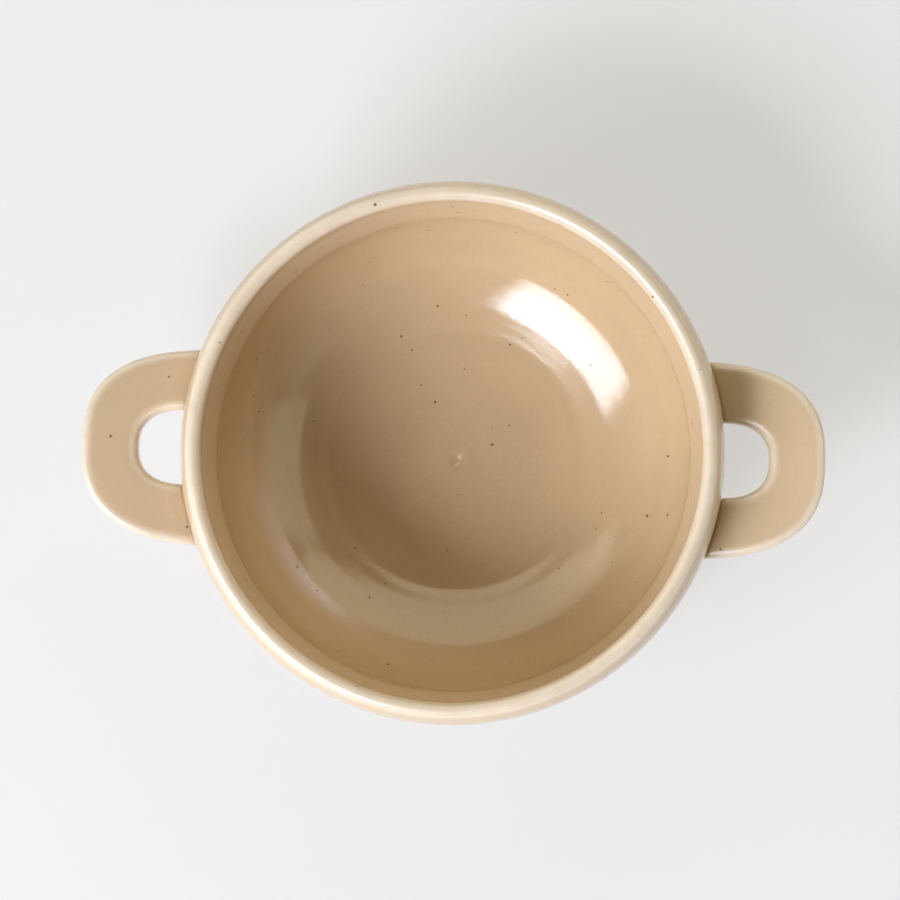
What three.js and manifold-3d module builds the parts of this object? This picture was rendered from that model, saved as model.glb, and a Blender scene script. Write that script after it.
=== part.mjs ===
// Soup bowl in glazed stoneware with two flat loop handles.
// A thrown body stands on a bare foot ring, and slip lutes the arms of each handle to its wall.
// Millimetres, +Z up. The origin is the centre of the circle that the foot stands on, and +X runs
// through the right handle.
import * as THREE from "three";
import { mergeVertices } from "three/addons/utils/BufferGeometryUtils.js";
import Module from "manifold-3d";

// Body
const HEIGHT = 55; // standing plane to the crest of the lip
const BELLY_RADIUS = 60; // widest circle of the outer wall
const BELLY_DROP = 11.5; // from the crest of the lip down to that circle
const LIP_INSET = 3.6; // the crest of the lip lies this far inside the widest circle
const LIP_INNER_WIDTH = 1.9; // the lip rounds off inwards over this width
const LIP_INNER_DEPTH = 2.7; // and this depth
const LIP_DROP = 5; // crest of the lip to the top of the bevel inside it
const BEVEL_HEIGHT = 11; // from there down to the crease where the straight wall begins
const WALL_THICKNESS = 7.35; // widest circle to the straight inner wall
const STRAIGHT_HEIGHT = 2.2; // straight inner wall between the crease and the cove
const FLAT_RADIUS = 19.6; // where the cove has run out into the flat of the floor
const FLOOR_THICKNESS = 6;
const RING_RADIUS = 29.5; // shallow groove that the turning tool leaves round the floor
const RING_WIDTH = 1.8;
const RING_DEPTH = 0.2;
const CENTRE_MARK_RADIUS = 1.5; // small dimple that the turning tool leaves on the axis
const CENTRE_MARK_DEPTH = 0.4;

// Foot ring
const FOOT_HEIGHT = 5;
const FOOT_RADIUS = 32; // outer radius where it meets the body
const FOOT_WIDTH = 6; // across the ring where it meets the body
const FOOT_TAPER = 0.7; // each side draws in by this much towards the standing face
const FOOT_ROUNDING = 0.8; // rounded edges of the standing face
const FOOT_LEDGE = 1.2; // flat left round the foot before the wall rises

// Handles
const HANDLE_REACH = 22; // widest circle to the outermost edge of the handle
const HANDLE_WIDTH = 43.8; // across both arms at the wall
const HANDLE_THICKNESS = 6.4;
const HANDLE_DROP = 14; // crest of the lip to the top of the handle at the wall
const HANDLE_TILT = THREE.MathUtils.degToRad(12); // the loop rises outwards
const HANDLE_DISH = 0.35; // the top of the loop is hollowed by this much
const HANDLE_TAPER = 1.75; // each side draws in by this much towards the tip
const HOLE_REACH = 9.9; // widest circle to the far end of the finger hole
const HOLE_WIDTH = 16.5;
const LOOP_SQUARENESS = 2.7; // exponent of the loop's outline, where 2 is an ellipse
const HOLE_SQUARENESS = 2.5;
const BAND_SQUARENESS = 4; // exponent of the band's section
const ROOT_ROUNDING = 1.1; // rounded ends of the arms, which leave a groove along the wall

// Luted joints
const JOINT_GAP = 0.3; // between the slip and the clay on either side of it
const SLIP_THICKNESS = 0.6; // slip under the end of an arm
const SLIP_SQUEEZE = 0.5; // slip pressed out past the end face, into the groove

// Facets
const TURN_STEPS = 72;
const LOOP_STEPS = 40;
const BAND_SIDES = 20;
const WALL_STEPS = 12;
const COVE_STEPS = 10;
const FLOOR_STEPS = 4;
const LIP_STEPS = 7;
const ROUNDING_STEPS = 3;

// Heights and radii that follow from these
const QUARTER = Math.PI / 2;
const bellyHeight = HEIGHT - BELLY_DROP;
const lipRadius = BELLY_RADIUS - LIP_INSET;
const innerRadius = BELLY_RADIUS - WALL_THICKNESS;
const bevelTop = HEIGHT - LIP_DROP;
const creaseHeight = bevelTop - BEVEL_HEIGHT;
const coveTop = creaseHeight - STRAIGHT_HEIGHT;
const floorHeight = FOOT_HEIGHT + FLOOR_THICKNESS;
const coveWidth = innerRadius - FLAT_RADIUS;
const coveHeight = coveTop - floorHeight;
const undersideRadius = FOOT_RADIUS + FOOT_LEDGE;
const armSeat = SLIP_THICKNESS + 2 * JOINT_GAP;

const wasm = await Module();
wasm.setup();

// A closed mesh as a solid that can be cut
function solidFrom(geometry) {
  const bare = geometry.clone();
  bare.deleteAttribute("normal");
  bare.deleteAttribute("uv");
  const merged = mergeVertices(bare);
  const vertProperties = new Float32Array(merged.attributes.position.array);
  const triVerts = new Uint32Array(merged.index.array);
  return new wasm.Manifold(new wasm.Mesh({ numProp: 3, vertProperties, triVerts }));
}

function geometryFrom(solid) {
  const { vertProperties, triVerts } = solid.getMesh();
  const geometry = new THREE.BufferGeometry();
  geometry.setAttribute("position", new THREE.BufferAttribute(vertProperties, 3));
  geometry.setIndex(new THREE.BufferAttribute(triVerts, 1));
  geometry.computeVertexNormals();
  return geometry;
}

// Points of an elliptical arc in the plane of a turned profile, x outwards and y up
function arc(centreX, centreY, radiusX, radiusY, from, to, steps) {
  return new THREE.EllipseCurve(centreX, centreY, radiusX, radiusY, from, to, to < from).getPoints(steps);
}

// A profile turned round the Z axis
function turned(profile) {
  return new THREE.LatheGeometry(profile, TURN_STEPS).rotateX(QUARTER);
}

// Outer wall from the flat round the foot, over the widest circle, to the crest of the lip
function outerWall() {
  const lower = arc(
    undersideRadius,
    bellyHeight,
    BELLY_RADIUS - undersideRadius,
    bellyHeight - FOOT_HEIGHT,
    -QUARTER,
    0,
    WALL_STEPS,
  );
  const upper = arc(lipRadius, bellyHeight, LIP_INSET, BELLY_DROP, 0, QUARTER, LIP_STEPS);
  return [...lower, ...upper.slice(1)];
}

// Radius of that wall at a height
function wallRadius(z) {
  const above = z > bellyHeight;
  const inset = above ? LIP_INSET : BELLY_RADIUS - undersideRadius;
  const span = above ? BELLY_DROP : bellyHeight - FOOT_HEIGHT;
  const share = Math.min(Math.abs(z - bellyHeight) / span, 1);
  return BELLY_RADIUS - inset + inset * Math.sqrt(1 - share ** 2);
}

// Part of the cove that rounds the inner wall off into the floor
function coveArc(from, to, steps) {
  return arc(FLAT_RADIUS, coveTop, coveWidth, coveHeight, from, to, steps);
}

// Angle on the cove's ellipse at a radius
function coveAngle(radius) {
  return -Math.acos((radius - FLAT_RADIUS) / coveWidth);
}

// Inner side from the crest of the lip, down its bevel, the wall and the cove, to the axis
function innerWall() {
  const lip = arc(
    lipRadius,
    HEIGHT - LIP_INNER_DEPTH,
    LIP_INNER_WIDTH,
    LIP_INNER_DEPTH,
    QUARTER,
    2 * QUARTER,
    LIP_STEPS,
  );
  const ring = coveAngle(RING_RADIUS);
  const groove = new THREE.Vector2(RING_RADIUS, coveTop + coveHeight * Math.sin(ring) - RING_DEPTH);
  return [
    ...lip.slice(1),
    new THREE.Vector2(lipRadius - LIP_INNER_WIDTH, bevelTop),
    new THREE.Vector2(innerRadius, creaseHeight),
    ...coveArc(0, coveAngle(RING_RADIUS + RING_WIDTH / 2), COVE_STEPS),
    groove,
    ...coveArc(coveAngle(RING_RADIUS - RING_WIDTH / 2), -QUARTER, FLOOR_STEPS),
    new THREE.Vector2(CENTRE_MARK_RADIUS, floorHeight),
    new THREE.Vector2(0, floorHeight - CENTRE_MARK_DEPTH),
  ];
}

function bowlBody() {
  const underside = new THREE.Vector2(0, FOOT_HEIGHT);
  return turned([underside, ...outerWall(), ...innerWall()]);
}

function footRing() {
  const standingOuter = FOOT_RADIUS - FOOT_TAPER - FOOT_ROUNDING;
  const standingInner = FOOT_RADIUS - FOOT_WIDTH + FOOT_TAPER + FOOT_ROUNDING;
  const edge = (radius, from, to) =>
    arc(radius, FOOT_ROUNDING, FOOT_ROUNDING, FOOT_ROUNDING, from, to, ROUNDING_STEPS);
  const profile = [
    ...edge(standingOuter, -QUARTER, 0),
    new THREE.Vector2(FOOT_RADIUS, FOOT_HEIGHT),
    new THREE.Vector2(FOOT_RADIUS - FOOT_WIDTH, FOOT_HEIGHT),
    ...edge(standingInner, 2 * QUARTER, 3 * QUARTER),
  ];
  return turned([...profile, profile[0]]);
}

// The solid that the outer wall encloses, grown outwards, which cuts what is fitted to the wall
function wallCutter(growth) {
  const grown = outerWall().map((point) => new THREE.Vector2(point.x + growth, point.y));
  const bottom = new THREE.Vector2(0, FOOT_HEIGHT);
  const top = new THREE.Vector2(0, HEIGHT);
  return solidFrom(turned([bottom, ...grown, top]));
}

function signedPower(value, exponent) {
  return Math.sign(value) * Math.abs(value) ** exponent;
}

// A point on a superellipse round the origin, at an angle
function superellipse(halfX, halfY, squareness, angle) {
  const x = halfX * signedPower(Math.cos(angle), 2 / squareness);
  const y = halfY * signedPower(Math.sin(angle), 2 / squareness);
  return new THREE.Vector2(x, y);
}

// Half of a superellipse that springs from the wall and reaches out past the widest circle
function loopEdge(reach, width, taper, squareness, angle) {
  const springing = Math.sqrt(BELLY_RADIUS ** 2 - (width / 2) ** 2);
  const share = superellipse(1, 1, squareness, angle);
  const x = springing + (BELLY_RADIUS + reach - springing) * share.x;
  const y = (width / 2 - taper * share.x) * share.y;
  return new THREE.Vector2(x, y);
}

// Inner and outer edges of the band at each station, from one root inside the wall to the other.
// Stations crowd together towards the roots, where the arms are rounded.
function loopStations(from, to) {
  const stations = [];
  for (let step = from; step <= to; step++) {
    const angle = QUARTER * Math.sin((QUARTER * step * 2) / LOOP_STEPS);
    const inner = loopEdge(HOLE_REACH, HOLE_WIDTH, 0, HOLE_SQUARENESS, angle);
    const outer = loopEdge(HANDLE_REACH, HANDLE_WIDTH, HANDLE_TAPER, LOOP_SQUARENESS, angle);
    stations.push({ inner, outer });
  }
  return stations;
}

// The root of an arm carries straight on into the wall, to be cut to its curve
function rootStation({ inner, outer }) {
  const lowest = HEIGHT - HANDLE_DROP - HANDLE_THICKNESS;
  const sink = BELLY_RADIUS - wallRadius(lowest) + WALL_THICKNESS;
  const intoWall = new THREE.Vector2(-sink, 0);
  return { inner: inner.clone().add(intoWall), outer: outer.clone().add(intoWall) };
}

function bandHeight(x) {
  const rise = (x - BELLY_RADIUS) * Math.tan(HANDLE_TILT);
  return HEIGHT - HANDLE_DROP - HANDLE_THICKNESS / 2 + rise;
}

// A point on the band's section between two edges, with the section grown by a margin
function bandPoint({ inner, outer }, angle, margin) {
  const middle = inner.clone().add(outer).multiplyScalar(0.5);
  const across = outer.clone().sub(inner);
  const halfWidth = across.length() / 2;
  const halfThickness = HANDLE_THICKNESS / 2;
  const section = superellipse(halfWidth + margin, halfThickness + margin, BAND_SQUARENESS, angle);
  const place = middle.addScaledVector(across.normalize(), section.x);
  const hollow = Math.max(section.y / (halfThickness + margin), 0);
  const dish = HANDLE_DISH * hollow * (1 - Math.min(section.x / halfWidth, 1) ** 2);
  return new THREE.Vector3(place.x, place.y, bandHeight(place.x) + section.y - dish);
}

// The band lofted through its stations, closed at both ends.
// The margin by which it is grown depends on the distance from the wall.
function band(stations, marginAt) {
  const positions = [];
  for (const station of stations) {
    for (let side = 0; side < BAND_SIDES; side++) {
      const angle = (4 * QUARTER * side) / BAND_SIDES;
      const plain = bandPoint(station, angle, 0);
      const distance = Math.hypot(plain.x, plain.y) - wallRadius(plain.z);
      positions.push(...bandPoint(station, angle, marginAt(distance)));
    }
  }
  const indices = [];
  for (let ring = 0; ring < stations.length - 1; ring++) {
    for (let side = 0; side < BAND_SIDES; side++) {
      const a = ring * BAND_SIDES + side;
      const b = ring * BAND_SIDES + ((side + 1) % BAND_SIDES);
      indices.push(a, a + BAND_SIDES, b, b, a + BAND_SIDES, b + BAND_SIDES);
    }
  }
  const last = (stations.length - 1) * BAND_SIDES;
  for (let side = 1; side < BAND_SIDES - 1; side++) {
    indices.push(0, side, side + 1);
    indices.push(last, last + side + 1, last + side);
  }
  const geometry = new THREE.BufferGeometry();
  geometry.setAttribute("position", new THREE.Float32BufferAttribute(positions, 3));
  geometry.setIndex(indices);
  return solidFrom(geometry);
}

// How far the section has drawn in where the end of an arm rounds off towards the wall
function rootMargin(distance) {
  const share = THREE.MathUtils.clamp((distance - armSeat) / ROOT_ROUNDING, 0, 1);
  return ROOT_ROUNDING * (Math.sqrt(1 - (1 - share) ** 2) - 1);
}

// One handle on the +X side, its arms coped to the wall and held off it by the slip
function handle() {
  const stations = loopStations(-LOOP_STEPS / 2, LOOP_STEPS / 2);
  const frontRoot = rootStation(stations[0]);
  const rearRoot = rootStation(stations[LOOP_STEPS]);
  return band([frontRoot, ...stations, rearRoot], rootMargin).subtract(wallCutter(armSeat));
}

// The pad of slip between the end of one arm and the wall, pressed out a little round the end.
// Side is 1 for the rear arm and -1 for the front arm.
function slipSeam(side) {
  const rootStep = (side * LOOP_STEPS) / 2;
  const armStep = rootStep / 2;
  const stations = loopStations(Math.min(rootStep, armStep), Math.max(rootStep, armStep));
  const rootFirst = side < 0;
  const root = rootStation(rootFirst ? stations[0] : stations.at(-1));
  const arm = rootFirst ? [root, ...stations] : [...stations, root];
  return band(arm, () => SLIP_SQUEEZE - ROOT_ROUNDING)
    .intersect(wallCutter(JOINT_GAP + SLIP_THICKNESS))
    .subtract(wallCutter(JOINT_GAP));
}

// Finishes
const glaze = { color: 0xb99468, roughness: 0.3, metalness: 0 };
const pooledGlaze = { color: 0x7d5a35, roughness: 0.3, metalness: 0 };
const bareClay = { color: 0xc3a688, roughness: 0.9, metalness: 0 };

function piece(name, geometry, finish) {
  const mesh = new THREE.Mesh(geometry, new THREE.MeshStandardMaterial(finish));
  mesh.name = name;
  return mesh;
}

const soupBowl = new THREE.Group();
soupBowl.add(piece("bowl_body", bowlBody(), glaze));
soupBowl.add(piece("foot_ring", footRing(), bareClay));

const handleShape = geometryFrom(handle());
const frontSeamShape = geometryFrom(slipSeam(-1));
const rearSeamShape = geometryFrom(slipSeam(1));

// Each side turns the same three shapes about the bowl's axis, so front and rear change places on the left
const sides = [
  { name: "right", turn: 0, front: frontSeamShape, rear: rearSeamShape },
  { name: "left", turn: 2 * QUARTER, front: rearSeamShape, rear: frontSeamShape },
];
for (const { name, turn, front, rear } of sides) {
  const side = new THREE.Group();
  side.rotation.z = turn;
  side.add(piece(`handle_${name}`, handleShape, glaze));
  side.add(piece(`slip_seam_${name}_front`, front, pooledGlaze));
  side.add(piece(`slip_seam_${name}_rear`, rear, pooledGlaze));
  soupBowl.add(side);
}

export default soupBowl;
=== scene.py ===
"""Soup bowl in glazed stoneware with two flat loop handles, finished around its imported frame.

Lengths are in metres in the frame's own axes: +Z up, +X through the right handle, and the origin at
the centre of the circle that the foot stands on.
"""
import math

import bpy
import numpy as np
from mathutils import Matrix, Vector


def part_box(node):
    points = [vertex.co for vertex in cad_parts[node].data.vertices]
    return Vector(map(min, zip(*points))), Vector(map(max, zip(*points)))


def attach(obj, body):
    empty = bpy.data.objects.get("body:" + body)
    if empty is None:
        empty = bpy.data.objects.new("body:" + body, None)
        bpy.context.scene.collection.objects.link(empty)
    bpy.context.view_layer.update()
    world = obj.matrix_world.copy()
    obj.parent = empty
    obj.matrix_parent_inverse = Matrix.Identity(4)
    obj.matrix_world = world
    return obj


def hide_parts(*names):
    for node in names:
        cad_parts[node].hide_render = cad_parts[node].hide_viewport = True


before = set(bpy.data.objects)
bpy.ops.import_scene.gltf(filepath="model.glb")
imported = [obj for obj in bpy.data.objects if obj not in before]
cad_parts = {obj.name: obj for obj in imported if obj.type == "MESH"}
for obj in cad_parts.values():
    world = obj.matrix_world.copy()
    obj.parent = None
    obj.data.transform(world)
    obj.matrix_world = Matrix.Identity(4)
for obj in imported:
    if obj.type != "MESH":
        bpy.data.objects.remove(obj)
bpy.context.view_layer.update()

MM = 0.001
QUARTER = math.pi / 2
TURN = 2 * math.pi

# Body, with its overall sizes taken from the frame
_, body_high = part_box("bowl_body")
HEIGHT = body_high[2]
BELLY_RADIUS = body_high[0]
BELLY_DROP = 11.5 * MM  # crest of the lip to the widest circle
LIP_INSET = 3.6 * MM  # crest of the lip inside the widest circle
LIP_INNER_WIDTH = 1.9 * MM  # the lip rounds off inwards over this width
LIP_INNER_DEPTH = 2.7 * MM  # and this depth
LIP_DROP = 5 * MM  # crest of the lip to the top of the bevel inside it
BEVEL_HEIGHT = 11 * MM
WALL_THICKNESS = 7.35 * MM
STRAIGHT_HEIGHT = 2.8 * MM
FLAT_RADIUS = 16.5 * MM
FLOOR_THICKNESS = 6 * MM
RING_RADIUS = 29.5 * MM  # a shallow groove left by the turning tool
RING_WIDTH = 1.3 * MM
RING_DEPTH = 0.22 * MM
CENTRE_MARK_RADIUS = 1.4 * MM
CENTRE_MARK_DEPTH = 0.75 * MM  # before the glaze evens it out
CENTRE_RIDGE_RADIUS = 2.6 * MM  # the clay stands up a little round the mark
CENTRE_RIDGE_HEIGHT = 0.2 * MM
UNDERSIDE_HOLLOW = 0.5 * MM  # the underside rises by this much towards the axis

# Foot ring
_, foot_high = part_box("foot_ring")
FOOT_HEIGHT = foot_high[2]
FOOT_RADIUS = foot_high[0]
FOOT_WIDTH = 6 * MM
FOOT_TAPER = 0.7 * MM
FOOT_ROUNDING = 0.8 * MM
FOOT_LEDGE = 1.2 * MM
FOOT_FLARE = 0.9 * MM  # both sides of the foot spread into the body by this much
FLARE_SHARE = 0.2  # of the taper is left where the flare begins

# Handles
_, handle_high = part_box("handle_right")
HANDLE_REACH = handle_high[0] - BELLY_RADIUS
HANDLE_WIDTH = 43.8 * MM
HANDLE_THICKNESS = 6.4 * MM
HANDLE_DROP = 14 * MM  # crest of the lip to the top of the handle at the wall
HANDLE_TILT = math.radians(12)
HANDLE_DISH = 0.35 * MM
HANDLE_TAPER = 1.75 * MM
HOLE_REACH = 9.9 * MM
HOLE_WIDTH = 16.5 * MM
LOOP_SQUARENESS = 2.7
HOLE_SQUARENESS = 2.5
BAND_SQUARENESS = 4
ARM_SEAT = 0.25 * MM  # the end of an arm stands this far off the wall, on its bed of slip
ROOT_ROUNDING = 1.1 * MM
ROOT_SINK = 3.6 * MM  # the arms are carried on into the wall by this much
ROOT_PAINTED_SHADE = 4.5 * MM  # painted shade: the arms are darkened over this distance from the wall
ROOT_PAINTED_SHADE_DEPTH = 0.45  # strength of that painted shade, as a share of the darkening in a full hollow
PALE_START = 0.9 * MM  # the glaze is thinnest within this distance of the corners of the band
PALE_END = 2.5 * MM  # and has its full thickness from here on

# How fine the meshes are
TURN_STEPS = 288
BODY_POINTS = 320
FOOT_POINTS = 72
LOOP_STEPS = 160
ROOT_STEPS = 18
BAND_SIDES = 56
SEAM_STEPS = 10
OUTLINE_SPACING = 0.1 * MM
WIDEST_STEP = 1.2 * MM  # between points of a turned outline, where it is straight
BEND_STEP = math.radians(5)  # and where it bends

# Heights and radii that follow from these
belly_height = HEIGHT - BELLY_DROP
lip_radius = BELLY_RADIUS - LIP_INSET
inner_radius = BELLY_RADIUS - WALL_THICKNESS
bevel_top = HEIGHT - LIP_DROP
crease_height = bevel_top - BEVEL_HEIGHT
cove_top = crease_height - STRAIGHT_HEIGHT
floor_height = FOOT_HEIGHT + FLOOR_THICKNESS
underside_radius = FOOT_RADIUS + FOOT_LEDGE


# Node trees
class Field:
    """A value that varies from point to point. Arithmetic on it adds Math nodes to its tree."""

    def __init__(self, nodes, socket):
        self.nodes = nodes
        self.socket = socket

    def _math(self, operation, first, second):
        return self.nodes.add("ShaderNodeMath", {"operation": operation}, {0: first, 1: second})

    def __add__(self, other):
        return self._math("ADD", self, other)

    def __sub__(self, other):
        return self._math("SUBTRACT", self, other)

    def __mul__(self, other):
        return self._math("MULTIPLY", self, other)

    def __truediv__(self, other):
        return self._math("DIVIDE", self, other)

    def __rsub__(self, other):
        return self._math("SUBTRACT", other, self)

    __radd__ = __add__
    __rmul__ = __mul__

    def beside(self, output):
        """Another output of the same node."""
        return Field(self.nodes, self.socket.node.outputs[output])


class Nodes:
    """A node tree that is being built."""

    def __init__(self, tree):
        self.tree = tree
        self.tree.nodes.clear()

    def add(self, kind, settings=None, sockets=None, output=0):
        """Add a node, make its settings, set or link its sockets, and give one of its outputs."""
        node = self.tree.nodes.new(kind)
        for name, setting in (settings or {}).items():
            setattr(node, name, setting)
        for name, value in (sockets or {}).items():
            self.feed(node.inputs[name], value)
        return Field(self, node.outputs[output]) if node.outputs else node

    def feed(self, socket, value):
        if isinstance(value, Field):
            self.tree.links.new(value.socket, socket)
        else:
            socket.default_value = value

    def ramp(self, value, start, end, low=0.0, high=1.0):
        """A value that goes smoothly from low to high while another goes from start to end."""
        sockets = {"Value": value, "From Min": start, "From Max": end, "To Min": low, "To Max": high}
        return self.add("ShaderNodeMapRange", {"interpolation_type": "SMOOTHSTEP"}, sockets)

    def mixed(self, share, first, second, blend="MIX"):
        """One colour changed into another by a share."""
        settings = {"data_type": "RGBA", "blend_type": blend}
        return self.add("ShaderNodeMix", settings, {0: share, 6: first, 7: second}, output=2)

    def length(self, vector):
        return self.add("ShaderNodeVectorMath", {"operation": "LENGTH"}, {0: vector}, output=1)

    def noise(self, place, scale, detail=2.0):
        return self.add("ShaderNodeTexNoise", None, {"Vector": place, "Scale": scale, "Detail": detail})


# Outlines
def arc(centre, radii, start, end, steps=90):
    """Points of an elliptical arc in the plane of an outline, as radius and height."""
    angle = np.linspace(start, end, steps)
    across = centre[0] + radii[0] * np.cos(angle)
    up = centre[1] + radii[1] * np.sin(angle)
    return np.column_stack([across, up])


def lengths_along(points):
    """Distance of each point from the first, along the line."""
    steps = np.linalg.norm(np.diff(points, axis=0), axis=1)
    return np.concatenate([[0], np.cumsum(steps)])


def placed_along(points, measure, places):
    """Points of the line where a rising measure along it has the given values."""
    return np.column_stack([np.interp(places, measure, column) for column in points.T])


def extended(points, count, closed):
    """The line carried on at both ends: round its loop, or mirrored in the axis that it ends on."""
    if closed:
        return np.concatenate([points[-count - 1 : -1], points, points[1 : count + 1]])
    mirror = np.array([-1, 1])
    before = points[count:0:-1] * mirror
    after = points[-2 : -count - 2 : -1] * mirror
    return np.concatenate([before, points, after])


def softened(points, reach, closed):
    """An evenly spaced line with its corners rounded off over a reach."""
    count = round(3 * reach / OUTLINE_SPACING)
    offsets = np.arange(-count, count + 1) * OUTLINE_SPACING
    weights = np.exp(-0.5 * (offsets / reach) ** 2)
    weights /= weights.sum()
    longer = extended(points, count, closed)
    return np.column_stack([np.convolve(column, weights, mode="valid") for column in longer.T])


def bends(points, closed):
    """Curvature at each point of a line that runs round the clay, positive on a rounded edge."""
    longer = extended(points, 2, closed)
    first = np.gradient(longer, axis=0)
    second = np.gradient(first, axis=0)
    cross = first[:, 0] * second[:, 1] - first[:, 1] * second[:, 0]
    speed = np.linalg.norm(first, axis=1)
    return (cross / np.maximum(speed, 1e-12) ** 3)[2:-2]


def smooth_share(values, start, end):
    """0 up to start and 1 from end on, with a smooth passage between."""
    share = np.clip((values - start) / (end - start), 0, 1)
    return share * share * (3 - 2 * share)


BODY_SOFTENING = 0.75 * MM  # corners are rounded off over about this much
FOOT_SOFTENING = 0.3 * MM
GLAZE_FLOW = 1.3 * MM  # the glaze evens out finer bends than this
GENTLE_BEND = 110  # per metre, above which the glaze begins to run off an edge or into a hollow
SHARP_BEND = 420
INNER_COLOUR_TOP = crease_height + 4 * MM  # inside the bowl the glaze turns darker and deeper in colour from this height
INNER_COLOUR_END = crease_height - 5 * MM  # down to this one


def finished_outline(corners, softening, count, closed=False):
    """Points for a turned outline, closest where it bends, with what the glaze does at each."""
    corners = np.array(corners)
    length = lengths_along(corners)
    places = np.arange(0, length[-1], OUTLINE_SPACING)
    even = placed_along(corners, length, np.append(places, length[-1]))
    line = softened(even, softening, closed)
    bend = bends(softened(line, GLAZE_FLOW, closed), closed)
    edge = smooth_share(bend, GENTLE_BEND, SHARP_BEND)
    pool = smooth_share(-bend, GENTLE_BEND, SHARP_BEND)
    along = lengths_along(line)
    density = 1 / WIDEST_STEP + np.abs(bends(line, closed)) / BEND_STEP
    measure = np.concatenate([[0], np.cumsum((density[1:] + density[:-1]) / 2 * np.diff(along))])
    marks = np.linspace(0, measure[-1], count)
    return placed_along(np.column_stack([line, edge, pool, along]), measure, marks)


def body_outline():
    """From the middle of the underside, up the outer wall, over the lip and down to the floor."""
    foot_line = (underside_radius, belly_height)
    lip_line = (lip_radius, belly_height)
    lip_centre = (lip_radius, HEIGHT - LIP_INNER_DEPTH)
    lower_radii = (BELLY_RADIUS - underside_radius, belly_height - FOOT_HEIGHT)
    cove_radii = (inner_radius - FLAT_RADIUS, cove_top - floor_height)
    cove = arc((FLAT_RADIUS, cove_top), cove_radii, 0, -QUARTER, steps=360)
    cove[:, 1] -= RING_DEPTH * np.exp(-(((cove[:, 0] - RING_RADIUS) / RING_WIDTH) ** 2))
    corners = [
        [(0, FOOT_HEIGHT + UNDERSIDE_HOLLOW)],
        [(FOOT_RADIUS - FOOT_WIDTH, FOOT_HEIGHT)],
        arc(foot_line, lower_radii, -QUARTER, 0),
        arc(lip_line, (LIP_INSET, BELLY_DROP), 0, QUARTER),
        arc(lip_centre, (LIP_INNER_WIDTH, LIP_INNER_DEPTH), QUARTER, 2 * QUARTER),
        [(lip_radius - LIP_INNER_WIDTH, bevel_top)],
        [(inner_radius, crease_height)],
        cove,
        [(CENTRE_RIDGE_RADIUS + CENTRE_MARK_RADIUS, floor_height)],
        [(CENTRE_RIDGE_RADIUS, floor_height + CENTRE_RIDGE_HEIGHT)],
        [(CENTRE_MARK_RADIUS, floor_height)],
        [(0, floor_height - CENTRE_MARK_DEPTH)],
    ]
    outline = finished_outline(np.concatenate(corners), BODY_SOFTENING, BODY_POINTS)
    height = outline[:, 1]
    inside = np.arange(len(outline)) > np.argmax(height)
    depth = np.where(inside, smooth_share(-height, -INNER_COLOUR_TOP, -INNER_COLOUR_END), 0)
    return np.column_stack([outline, depth])


def foot_outline():
    """Round the section of the foot ring, from the outer edge of its standing face."""
    outer = FOOT_RADIUS - FOOT_TAPER
    inner = FOOT_RADIUS - FOOT_WIDTH + FOOT_TAPER
    rounding = (FOOT_ROUNDING, FOOT_ROUNDING)
    outer_edge = arc((outer - FOOT_ROUNDING, FOOT_ROUNDING), rounding, -QUARTER, 0)
    inner_edge = arc((inner + FOOT_ROUNDING, FOOT_ROUNDING), rounding, -2 * QUARTER, -QUARTER)
    flare_base = FOOT_HEIGHT - 2 * FOOT_FLARE
    corners = [
        outer_edge,
        [(FOOT_RADIUS - FLARE_SHARE * FOOT_TAPER, flare_base)],
        [(FOOT_RADIUS + FOOT_FLARE, FOOT_HEIGHT)],
        [(FOOT_RADIUS - FOOT_WIDTH - FOOT_FLARE, FOOT_HEIGHT)],
        [(FOOT_RADIUS - FOOT_WIDTH + FLARE_SHARE * FOOT_TAPER, flare_base)],
        inner_edge,
        outer_edge[:1],
    ]
    outline = finished_outline(np.concatenate(corners), FOOT_SOFTENING, FOOT_POINTS, closed=True)
    return np.column_stack([outline, np.zeros(len(outline))])


# Turning on the wheel
WHEEL_INPUTS = {
    "Steps": "NodeSocketInt",
    "Spiral depth": "NodeSocketFloat",
    "Spiral spacing": "NodeSocketFloat",
    "Wander": "NodeSocketFloat",
    "Finish": "NodeSocketMaterial",
}
OUTLINE_VALUES = ("edge", "pool", "along", "depth")
WANDER_SCALE = 22  # per metre
WELD = 1e-6
AXIS_CALM = 12 * MM  # the spiral fades out this close to the axis


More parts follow.
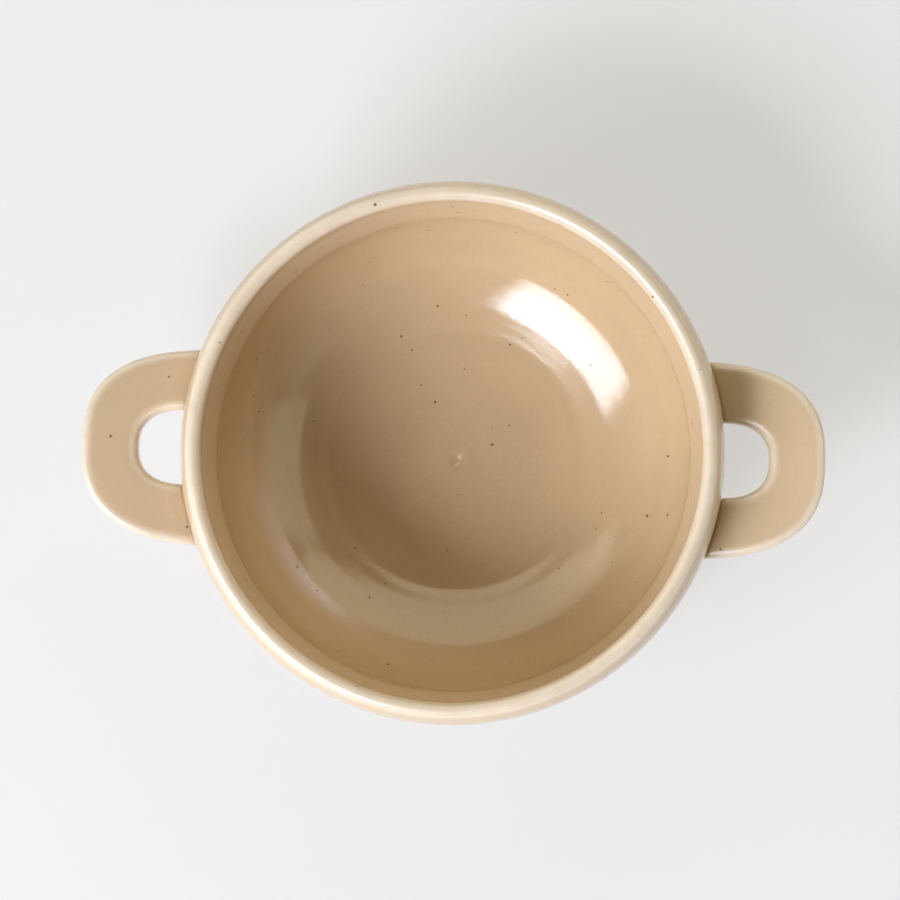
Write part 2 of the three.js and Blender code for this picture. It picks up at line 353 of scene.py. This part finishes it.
def wheel_tree():
    """Geometry Nodes that turn a line of points round the axis, with a faint spiral of finger marks."""
    tree = bpy.data.node_groups.new("turned_on_the_wheel", "GeometryNodeTree")
    tree.interface.new_socket("Outline", in_out="INPUT", socket_type="NodeSocketGeometry")
    for name, kind in WHEEL_INPUTS.items():
        tree.interface.new_socket(name, in_out="INPUT", socket_type=kind)
    tree.interface.new_socket("Turned", in_out="OUTPUT", socket_type="NodeSocketGeometry")
    nodes = Nodes(tree)
    outline = nodes.add("NodeGroupInput", output="Outline")
    steps = outline.beside("Steps")
    depth = outline.beside("Spiral depth")
    spacing = outline.beside("Spiral spacing")
    wander = outline.beside("Wander")
    finish = outline.beside("Finish")

    # A grid with a row for each point of the outline, rolled up round the axis
    rows = nodes.add("GeometryNodeAttributeDomainSize", {"component": "MESH"}, {"Geometry": outline})
    columns = steps + 1
    grid = nodes.add("GeometryNodeMeshGrid", None, {"Vertices X": rows, "Vertices Y": columns})
    index = nodes.add("GeometryNodeInputIndex")
    row = nodes.add("ShaderNodeMath", {"operation": "FLOOR"}, {0: (index + 0.5) / columns})
    angle = (index - row * columns) / steps * TURN
    position = nodes.add("GeometryNodeInputPosition")
    sampling = {"data_type": "FLOAT_VECTOR", "domain": "POINT"}
    point = nodes.add("GeometryNodeSampleIndex", sampling, {0: outline, "Value": position, "Index": row})
    turning = {"rotation_type": "Z_AXIS"}
    rolled = nodes.add("ShaderNodeVectorRotate", turning, {"Vector": point, "Angle": angle})
    wall = nodes.add("GeometryNodeSetPosition", None, {"Geometry": grid, "Position": rolled})
    for name in OUTLINE_VALUES:
        value = nodes.add("GeometryNodeInputNamedAttribute", {"data_type": "FLOAT"}, {"Name": name})
        sampling = {"data_type": "FLOAT", "domain": "POINT"}
        sample = nodes.add("GeometryNodeSampleIndex", sampling, {0: outline, "Value": value, "Index": row})
        storing = {"data_type": "FLOAT", "domain": "POINT"}
        sockets = {"Geometry": wall, "Name": name, "Value": sample}
        wall = nodes.add("GeometryNodeStoreNamedAttribute", storing, sockets)
    welded = nodes.add("GeometryNodeMergeByDistance", None, {"Geometry": wall, "Distance": WELD})
    welded = nodes.add("GeometryNodeFlipFaces", None, {"Mesh": welded})

    # Finger marks and a slight unevenness, pressed into the clay
    x = nodes.add("ShaderNodeSeparateXYZ", None, {0: position})
    y = x.beside(1)
    flat = nodes.add("ShaderNodeCombineXYZ", None, {0: x, 1: y})
    radius = nodes.length(flat)
    bearing = nodes.add("ShaderNodeMath", {"operation": "ARCTAN2"}, {0: y, 1: x})
    along = nodes.add("GeometryNodeInputNamedAttribute", {"data_type": "FLOAT"}, {"Name": "along"})
    phase = along / spacing * TURN + bearing
    wave = nodes.add("ShaderNodeMath", {"operation": "SINE"}, {0: phase})
    calm = nodes.ramp(radius, 0.0, AXIS_CALM)
    uneven = nodes.noise(position, WANDER_SCALE, detail=1.0)
    press = depth * calm * (0.5 * wave + 0.5) + wander * calm * uneven
    normal = nodes.add("GeometryNodeInputNormal")
    inward = nodes.add("ShaderNodeVectorMath", {"operation": "SCALE"}, {0: normal, "Scale": 0 - press})
    pressed = nodes.add("GeometryNodeSetPosition", None, {"Geometry": welded, "Offset": inward})
    smooth = nodes.add("GeometryNodeSetShadeSmooth", None, {"Geometry": pressed})
    whole = nodes.add("GeometryNodeRealizeInstances", None, {"Geometry": smooth})
    coated = nodes.add("GeometryNodeSetMaterial", None, {"Geometry": whole, "Material": finish})
    nodes.add("NodeGroupOutput", None, {"Turned": coated})
    return tree


def turned_piece(name, outline, finish, tree, spiral_depth, spiral_spacing, wander):
    """An outline turned on the wheel and kept as a plain mesh."""
    mesh = bpy.data.meshes.new(name)
    points = [(radius, 0, height) for radius, height in outline[:, :2]]
    mesh.from_pydata(points, [(step, step + 1) for step in range(len(points) - 1)], [])
    for column, value in enumerate(OUTLINE_VALUES, start=2):
        attribute = mesh.attributes.new(value, "FLOAT", "POINT")
        attribute.data.foreach_set("value", outline[:, column].astype(np.float32))
    piece = bpy.data.objects.new(name, mesh)
    bpy.context.scene.collection.objects.link(piece)
    modifier = piece.modifiers.new("wheel", "NODES")
    modifier.node_group = tree
    settings = {
        "Steps": TURN_STEPS,
        "Spiral depth": spiral_depth,
        "Spiral spacing": spiral_spacing,
        "Wander": wander,
        "Finish": finish,
    }
    for socket in tree.interface.items_tree:
        if socket.in_out == "INPUT" and socket.name in settings:
            modifier[socket.identifier] = settings[socket.name]
    evaluated = piece.evaluated_get(bpy.context.evaluated_depsgraph_get())
    piece.data = bpy.data.meshes.new_from_object(evaluated)
    piece.modifiers.clear()
    return piece


# Handles
def signed_power(values, exponent):
    return np.sign(values) * np.abs(values) ** exponent


def superellipse(squareness, angle):
    """Shares of the half width and the half height at an angle."""
    across = signed_power(np.cos(angle), 2 / squareness)
    up = signed_power(np.sin(angle), 2 / squareness)
    return across, up


def wall_radius(height):
    """Radius of the outer wall at a height."""
    above = height > belly_height
    inset = np.where(above, LIP_INSET, BELLY_RADIUS - underside_radius)
    span = np.where(above, BELLY_DROP, belly_height - FOOT_HEIGHT)
    share = np.minimum(np.abs(height - belly_height) / span, 1)
    return BELLY_RADIUS - inset + inset * np.sqrt(1 - share**2)


def loop_edge(reach, width, taper, squareness, angle):
    """A point of half a superellipse that springs from the wall and reaches past the widest circle."""
    springing = math.sqrt(BELLY_RADIUS**2 - (width / 2) ** 2)
    out, side = superellipse(squareness, angle)
    x = springing + (BELLY_RADIUS + reach - springing) * out
    y = (width / 2 - taper * out) * side
    return np.array([x, y])


def loop_station(share):
    """Inner and outer edge of the band, for a share from -1 at the front root to 1 at the rear root."""
    angle = QUARTER * math.sin(QUARTER * share)
    inner = loop_edge(HOLE_REACH, HOLE_WIDTH, 0, HOLE_SQUARENESS, angle)
    outer = loop_edge(HANDLE_REACH, HANDLE_WIDTH, HANDLE_TAPER, LOOP_SQUARENESS, angle)
    return inner, outer


def band_section(station, margin):
    """Points round the band's section at a station, grown by a margin at each point."""
    inner, outer = station
    angle = np.arange(BAND_SIDES) * TURN / BAND_SIDES
    half_width = np.linalg.norm(outer - inner) / 2
    half_thickness = HANDLE_THICKNESS / 2
    across, up = superellipse(BAND_SQUARENESS, angle)
    aside = across * (half_width + margin)
    rise = up * (half_thickness + margin)
    flat = (inner + outer) / 2 + np.outer(aside, (outer - inner) / (2 * half_width))
    dish = HANDLE_DISH * np.maximum(up, 0) * (1 - np.minimum(np.abs(aside) / half_width, 1) ** 2)
    slope = (flat[:, 0] - BELLY_RADIUS) * math.tan(HANDLE_TILT)
    height = HEIGHT - HANDLE_DROP - half_thickness + slope + rise - dish
    return np.column_stack([flat, height])


def off_the_wall(points):
    """Distance of points from the outer wall, measured straight out from the axis."""
    return np.hypot(points[:, 0], points[:, 1]) - wall_radius(points[:, 2])


def root_share(distance):
    """0 where the end of an arm has rounded off towards the wall, and 1 where it has its full section."""
    return np.clip((distance - ARM_SEAT) / ROOT_ROUNDING, 0, 1)


def section_edge(station):
    """How far the glaze has run off each point of a section, from 0 to 1."""
    inner, outer = station
    half_width = np.linalg.norm(outer - inner) / 2
    angle = np.arange(BAND_SIDES) * TURN / BAND_SIDES
    across, up = superellipse(BAND_SQUARENESS, angle)
    inset = (1 - np.abs(across)) * half_width
    drop = (1 - np.abs(up)) * HANDLE_THICKNESS / 2
    return 1 - smooth_share(np.hypot(inset, drop), PALE_START, PALE_END)


def lofted_piece(name, rings, values, finish):
    """A skin over rings of points, closed at both ends, with a value of edge and pool for each point."""
    rings = np.array(rings)
    count, sides = rings.shape[:2]
    points = rings.reshape(-1, 3)
    faces = []
    for ring in range(count - 1):
        for side in range(sides):
            following = (side + 1) % sides
            start = ring * sides
            faces.append(
                (start + side, start + sides + side, start + sides + following, start + following)
            )
    faces.append(tuple(range(sides)))
    faces.append(tuple(reversed(range((count - 1) * sides, count * sides))))
    mesh = bpy.data.meshes.new(name)
    mesh.from_pydata(points.tolist(), [], faces)
    for value, shares in values.items():
        attribute = mesh.attributes.new(value, "FLOAT", "POINT")
        attribute.data.foreach_set("value", np.array(shares).ravel().astype(np.float32))
    mesh.polygons.foreach_set("use_smooth", np.ones(len(faces), dtype=bool))
    mesh.materials.append(finish)
    piece = bpy.data.objects.new(name, mesh)
    bpy.context.scene.collection.objects.link(piece)
    return piece


def turned_about(rings, angle):
    """Rings turned about the axis of the bowl."""
    turn = np.array(Matrix.Rotation(angle, 3, "Z"))
    return np.array(rings) @ turn.T


def handle_stations():
    """Stations of the loop from inside the wall at the front to inside the wall at the rear."""
    sink = np.linspace(ROOT_SINK, ROOT_SINK / ROOT_STEPS, ROOT_STEPS)
    front = loop_station(-1)
    rear = loop_station(1)
    inward = np.array([-1, 0])
    stations = [(front[0] + depth * inward, front[1] + depth * inward) for depth in sink]
    stations += [loop_station(share) for share in np.linspace(-1, 1, LOOP_STEPS + 1)]
    stations += [(rear[0] + depth * inward, rear[1] + depth * inward) for depth in sink[::-1]]
    return stations


def handle_piece(name, angle, finish):
    """One loop handle, its arms rounded off towards the wall."""
    rings = []
    edges = []
    pools_and_painted_shade = []
    for station in handle_stations():
        share = root_share(off_the_wall(band_section(station, 0)))
        margin = ROOT_ROUNDING * (np.sqrt(1 - (1 - share) ** 2) - 1)
        rings.append(band_section(station, margin))
        rounded = np.where(share > 0, 1 - share, 0)
        edges.append(np.maximum(section_edge(station), rounded))
        # painted shade on the arms, darkest at the wall and fading out along them
        run = 1 - smooth_share(off_the_wall(rings[-1]), 0, ROOT_PAINTED_SHADE)
        # the rounded arm ends are darkened as a full hollow: glaze gathered at the wall, and painted shade
        # of the crevice
        pools_and_painted_shade.append(np.maximum(1 - smooth_share(share, 0, 0.35), ROOT_PAINTED_SHADE_DEPTH * run))
    values = {"edge": edges, "pool": pools_and_painted_shade}
    return lofted_piece(name, turned_about(rings, angle), values, finish)


def coped_ring(side, distance, margin):
    """The root section of an arm, carried along to a distance from the wall at each of its points."""
    ring = band_section(loop_station(side), margin)
    for _ in range(3):
        reach = wall_radius(ring[:, 2]) + distance
        x = np.sqrt(reach**2 - ring[:, 1] ** 2)
        ring[:, 2] += (x - ring[:, 0]) * math.tan(HANDLE_TILT)
        ring[:, 0] = x
    return ring


SEAM_START = -0.3 * MM  # inside the wall
SEAM_END = 0.75 * MM  # under the rounded end of the arm
SEAM_SPREAD = -0.3 * MM  # margin of the slip at the wall, against the arm's full section
SEAM_NECK = -1.0 * MM  # and where it runs under the arm


def seam_piece(name, side, angle, finish):
    """Slip and glaze in the groove between the end of an arm and the wall. Side 1 is the rear arm."""
    rings = []
    for share in np.linspace(0, 1, SEAM_STEPS):
        distance = SEAM_START + (SEAM_END - SEAM_START) * share
        margin = SEAM_SPREAD + (SEAM_NECK - SEAM_SPREAD) * math.sin(QUARTER * share)
        rings.append(coped_ring(side, distance, margin))
    if side > 0:
        rings.reverse()
    full = np.ones((SEAM_STEPS, BAND_SIDES))
    # the whole seam is darkened as a full hollow: glaze gathered in the groove, and painted shade of the
    # crevice
    values = {"edge": 0 * full, "pool": full}
    return lofted_piece(name, turned_about(rings, angle), values, finish)


# Finishes
GLAZE_COLOUR = (0.63, 0.465, 0.29, 1)
INNER_GLAZE_COLOUR = (0.57, 0.405, 0.232, 1)
THIN_GLAZE_COLOUR = (0.8, 0.67, 0.51, 1)
POOLED_GLAZE_AND_SHADE_COLOUR = (0.36, 0.225, 0.105, 1)
SPECK_COLOUR = (0.07, 0.04, 0.02, 1)
CLAY_COLOUR = (0.62, 0.50, 0.37, 1)
CLAY_DARK_COLOUR = (0.47, 0.35, 0.24, 1)


def new_finish(name):
    material = bpy.data.materials.new(name)
    material.use_nodes = True
    return material, Nodes(material.node_tree)


def glaze_colour(nodes, place, edge, pool, depth):
    """Beige glaze: paler over edges, darker in hollows and in painted shade at the handles' roots,
    clouded, with a few specks of iron.
    """
    cloud = nodes.noise(place, 38, detail=3.0)
    grain = nodes.noise(place, 1400, detail=2.0)
    breakup = nodes.noise(place, 260, detail=3.0)
    thin = edge * nodes.ramp(breakup, 0.2, 0.8, 0.72, 1.0)
    colour = nodes.mixed(depth, GLAZE_COLOUR, INNER_GLAZE_COLOUR)
    colour = nodes.mixed(thin, colour, THIN_GLAZE_COLOUR)
    # darker with the pool value: glaze gathered in hollows, and painted shade on the handles' arms and
    # seams
    colour = nodes.mixed(pool * 0.75, colour, POOLED_GLAZE_AND_SHADE_COLOUR)
    tone = 0.86 + 0.18 * cloud + 0.12 * grain
    grey = nodes.add("ShaderNodeCombineColor", None, {0: tone, 1: tone, 2: tone})
    colour = nodes.mixed(1.0, colour, grey, "MULTIPLY")
    return nodes.mixed(specks(nodes, place), colour, SPECK_COLOUR)


SPECK_SPACING = 4.4 * MM
SPECK_RADIUS = 0.34 * MM


def specks(nodes, place):
    """Share of iron speck at a point: small irregular dots, few and of different sizes."""
    scatter = {"Vector": place, "Scale": 1 / SPECK_SPACING, "Randomness": 1.0}
    cells = nodes.add("ShaderNodeTexVoronoi", {"voronoi_dimensions": "3D"}, scatter)
    size = nodes.add("ShaderNodeSeparateColor", None, {0: cells.beside("Color")})
    ragged = nodes.noise(place, 5200, detail=1.0)
    radius = (SPECK_RADIUS / SPECK_SPACING) * (0.45 + 0.9 * size) * (0.6 + 0.8 * ragged)
    return nodes.ramp(cells / radius, 0.55, 1.0, 0.85, 0.0)


def glaze_relief(nodes, place, height):
    """The faint orange-peel relief of a fired glaze."""
    peel = nodes.noise(place, 900, detail=2.0)
    fine = nodes.noise(place, 4200, detail=1.0)
    return nodes.add(
        "ShaderNodeBump", None, {"Strength": 1.0, "Distance": height, "Height": 0.6 * peel + 0.45 * fine}
    )


def finish_surface(nodes, shader):
    nodes.add("ShaderNodeOutputMaterial", None, {"Surface": shader})


def attribute(nodes, name):
    return nodes.add("ShaderNodeAttribute", {"attribute_name": name}, output="Fac")


def glaze_finish(name, relief):
    """Semi-gloss glaze whose thickness follows each piece's own edges and hollows; the same darkening
    paints shade at the handles' roots.
    """
    material, nodes = new_finish(name)
    place = nodes.add("ShaderNodeTexCoord", output="Object")
    edge = attribute(nodes, "edge")
    pool = attribute(nodes, "pool")
    depth = attribute(nodes, "depth")
    haze = nodes.noise(place, 120, detail=3.0)
    shader = nodes.add(
        "ShaderNodeBsdfPrincipled",
        None,
        {
            "Base Color": glaze_colour(nodes, place, edge, pool, depth),
            "Roughness": 0.07 + 0.06 * haze + 0.2 * edge,
            "IOR": 1.85,
            "Normal": glaze_relief(nodes, place, relief),
        },
    )
    finish_surface(nodes, shader)
    return material


GLAZE_LINE = 1.9 * MM  # the glaze ends this far above the standing face
GLAZE_LINE_WAVER = 0.5 * MM


def foot_finish(name):
    """Bare fired clay on the standing edge, with the glaze ending in a wavering line above it."""
    material, nodes = new_finish(name)
    place = nodes.add("ShaderNodeTexCoord", output="Object")
    height = nodes.add("ShaderNodeSeparateXYZ", None, {0: place}, output=2)
    waver = nodes.noise(place, 90, detail=2.0) - 0.5
    line = height + GLAZE_LINE_WAVER * 2 * waver
    glazed = nodes.ramp(line, GLAZE_LINE - 0.1 * MM, GLAZE_LINE + 0.1 * MM)
    rim = nodes.ramp(line, GLAZE_LINE, GLAZE_LINE + 0.8 * MM, 1.0, 0.0)
    grit = nodes.noise(place, 2600, detail=4.0)
    clay = nodes.mixed(nodes.ramp(grit, 0.35, 0.75), CLAY_COLOUR, CLAY_DARK_COLOUR)
    glaze = glaze_colour(nodes, place, rim, attribute(nodes, "pool"), 0.0)
    relief = nodes.add(
        "ShaderNodeBump",
        None,
        {"Strength": 1.0, "Distance": 0.06 * MM, "Height": grit * (1 - glazed) + 1.4 * glazed},
    )
    shader = nodes.add(
        "ShaderNodeBsdfPrincipled",
        None,
        {
            "Base Color": nodes.mixed(glazed, clay, glaze),
            "Roughness": 0.8 - 0.58 * glazed,
            "IOR": 1.5,
            "Normal": relief,
        },
    )
    finish_surface(nodes, shader)
    return material


GLAZE_RELIEF = 0.028 * MM
SEAM_RELIEF = 0.04 * MM

glaze = glaze_finish("beige_glaze", GLAZE_RELIEF)
# finish of the seams, darkened by their pool value: pooled glaze and painted shade
pooled_glaze = glaze_finish("pooled_glaze", SEAM_RELIEF)
bare_clay = foot_finish("bare_clay")

# Pieces
SPIRAL_DEPTH = 0.02 * MM
BODY_SPIRAL = 3.4 * MM  # between the turns of the finger marks
BODY_WANDER = 0.08 * MM  # unevenness of the thrown wall
FOOT_SPIRAL = 1.1 * MM
FOOT_WANDER = 0.03 * MM

wheel = wheel_tree()

body = turned_piece("glazed_body", body_outline(), glaze, wheel, SPIRAL_DEPTH, BODY_SPIRAL, BODY_WANDER)
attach(body, "root")
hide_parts("bowl_body")

foot = turned_piece("bare_foot", foot_outline(), bare_clay, wheel, SPIRAL_DEPTH, FOOT_SPIRAL, FOOT_WANDER)
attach(foot, "root")
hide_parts("foot_ring")

SIDES = {"right": (0, {"front": -1, "rear": 1}), "left": (math.pi, {"front": 1, "rear": -1})}
for side_name, (side_angle, arms) in SIDES.items():
    loop = handle_piece(f"loop_{side_name}", side_angle, glaze)
    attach(loop, "root")
    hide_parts(f"handle_{side_name}")
    for arm_name, arm_side in arms.items():
        seam = seam_piece(f"seam_{side_name}_{arm_name}", arm_side, side_angle, pooled_glaze)
        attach(seam, "root")
        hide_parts(f"slip_seam_{side_name}_{arm_name}")


# Floor
FLOOR_HALF = 4.0
FLOOR_COLOUR = (0.75, 0.74, 0.725, 1)
FLOOR_SHADE_COLOUR = (0.72, 0.71, 0.695, 1)
FLOOR_WHITE = (0.9, 0.9, 0.9, 1)
WHITENING = 0.5  # share of plain white in the board as it is seen, which lightens the bowl's shadow
WHITE_START = 0.25  # further off than this from the bowl the board is seen as whiter and whiter
WHITE_END = 1.2  # and from here on as plain white


def floor_finish():
    """White painted board with a hardly visible unevenness."""
    material, nodes = new_finish("white_board")
    place = nodes.add("ShaderNodeTexCoord", output="Object")
    cloud = nodes.noise(place, 9, detail=3.0)
    board = nodes.add(
        "ShaderNodeBsdfPrincipled",
        None,
        {"Base Color": nodes.mixed(cloud, FLOOR_COLOUR, FLOOR_SHADE_COLOUR), "Roughness": 0.75},
    )
    white = nodes.add("ShaderNodeEmission", None, {"Color": FLOOR_WHITE, "Strength": 1.0})
    camera_ray = nodes.add("ShaderNodeLightPath", output="Is Camera Ray")
    seen = camera_ray + camera_ray.beside("Is Glossy Ray") + camera_ray.beside("Is Transmission Ray")
    share = nodes.ramp(nodes.length(place), WHITE_START, WHITE_END, WHITENING, 1.0)
    shader = nodes.add("ShaderNodeMixShader", None, {0: share * seen, 1: board, 2: white})
    finish_surface(nodes, shader)
    return material


def add_floor():
    mesh = bpy.data.meshes.new("floor")
    corners = [(x * FLOOR_HALF, y * FLOOR_HALF, 0) for x, y in ((-1, -1), (1, -1), (1, 1), (-1, 1))]
    mesh.from_pydata(corners, [], [(0, 1, 2, 3)])
    mesh.materials.append(floor_finish())
    floor = bpy.data.objects.new("floor", mesh)
    bpy.context.scene.collection.objects.link(floor)


add_floor()

# Light
# Each panel: the bearings and the rises between which the bowl sees it, in degrees, its brightness, where
# 1 is the brightness of white, and its colour
DAYLIGHT = (0.95, 1.0, 1.14)
WARM_LIGHT = (1.06, 1.0, 0.77)
PANELS = {
    "key": (219, 245, 33, 51, 14.0, DAYLIGHT),
    "key_rim": (199, 250, 20, 50, 6.4, DAYLIGHT),
    "rear_fill": (41, 149, 18, 54, 1.05, WARM_LIGHT),
    "right_fill": (-15, 33, 18, 48, 0.75, WARM_LIGHT),
    "right_front_fill": (-42, -17, 18, 38, 0.25, WARM_LIGHT),
    "rear_low": (45, 135, 3, 15, 1.6, DAYLIGHT),
    "right_low": (-55, 15, 3, 15, 1.4, DAYLIGHT),
}
PANEL_DISTANCE = 1.5
SKY_LOW = 0.15  # brightness of the sky near the horizon
SKY_HIGH = 0.1  # and overhead
SKY_DIM_START = 0.5  # sine of the rise from which it dims
SKY_DIM_END = 0.9
aim = Vector((0, 0, HEIGHT / 2))


def add_panel(name, bearing_from, bearing_to, rise_from, rise_to, brightness, colour):
    """A soft rectangular light that faces the bowl."""
    bearing = math.radians((bearing_from + bearing_to) / 2)
    rise = math.radians((rise_from + rise_to) / 2)
    flat = math.cos(rise)
    away = Vector((flat * math.cos(bearing), flat * math.sin(bearing), math.sin(rise)))
    light = bpy.data.lights.new(name, "AREA")
    light.shape = "RECTANGLE"
    light.color = colour
    light.size = 2 * PANEL_DISTANCE * flat * math.tan(math.radians(bearing_to - bearing_from) / 2)
    light.size_y = 2 * PANEL_DISTANCE * math.tan(math.radians(rise_to - rise_from) / 2)
    light.energy = math.pi * light.size * light.size_y * brightness
    panel = bpy.data.objects.new(name, light)
    panel.location = aim + PANEL_DISTANCE * away
    panel.rotation_euler = away.to_track_quat("Z", "Y").to_euler()
    panel.visible_camera = False
    bpy.context.scene.collection.objects.link(panel)


for panel_name, panel_sizes in PANELS.items():
    add_panel(panel_name, *panel_sizes)


def add_sky():
    """Soft light from all round, dim overhead. The camera sees plain white there, as on the board."""
    world = bpy.data.worlds.new("studio")
    world.use_nodes = True
    nodes = Nodes(world.node_tree)
    direction = nodes.add("ShaderNodeTexCoord", output="Generated")
    up = nodes.add("ShaderNodeSeparateXYZ", None, {0: direction}, output=2)
    strength = nodes.ramp(up, SKY_DIM_START, SKY_DIM_END, SKY_LOW, SKY_HIGH)
    sky = nodes.add("ShaderNodeBackground", None, {"Color": (*WARM_LIGHT, 1), "Strength": strength})
    white = nodes.add("ShaderNodeBackground", None, {"Color": FLOOR_WHITE, "Strength": 1.0})
    camera_ray = nodes.add("ShaderNodeLightPath", output="Is Camera Ray")
    surface = nodes.add("ShaderNodeMixShader", None, {0: camera_ray, 1: sky, 2: white})
    nodes.add("ShaderNodeOutputWorld", None, {"Surface": surface})
    bpy.context.scene.world = world


add_sky()

# Camera
CAMERA_DISTANCE = 0.65
CAMERA_RIGHT = math.radians(2.0)
CAMERA_FRONT = math.radians(2.9)
CAMERA_ROLL = math.radians(1.52)
CAMERA_ASIDE = -0.1 * MM  # it looks this far to the right of the axis
LENS = 120  # millimetres, as the camera's own setting
SENSOR = 36


def add_camera():
    """Almost straight above the bowl, a little to the right and to the front."""
    camera = bpy.data.cameras.new("camera")
    camera.lens = LENS
    camera.sensor_width = SENSOR
    eye = bpy.data.objects.new("camera", camera)
    target = Vector((CAMERA_ASIDE, 0, HEIGHT))
    away = Vector((math.tan(CAMERA_RIGHT), -math.tan(CAMERA_FRONT), 1)).normalized()
    up = Vector((-math.sin(CAMERA_ROLL), math.cos(CAMERA_ROLL), 0))
    right = up.cross(away).normalized()
    up = away.cross(right)
    turn = Matrix((right, up, away)).transposed().to_4x4()
    eye.matrix_world = Matrix.Translation(target + CAMERA_DISTANCE * away) @ turn
    bpy.context.scene.collection.objects.link(eye)
    bpy.context.scene.camera = eye


add_camera()
bpy.context.scene.view_settings.view_transform = "Standard"
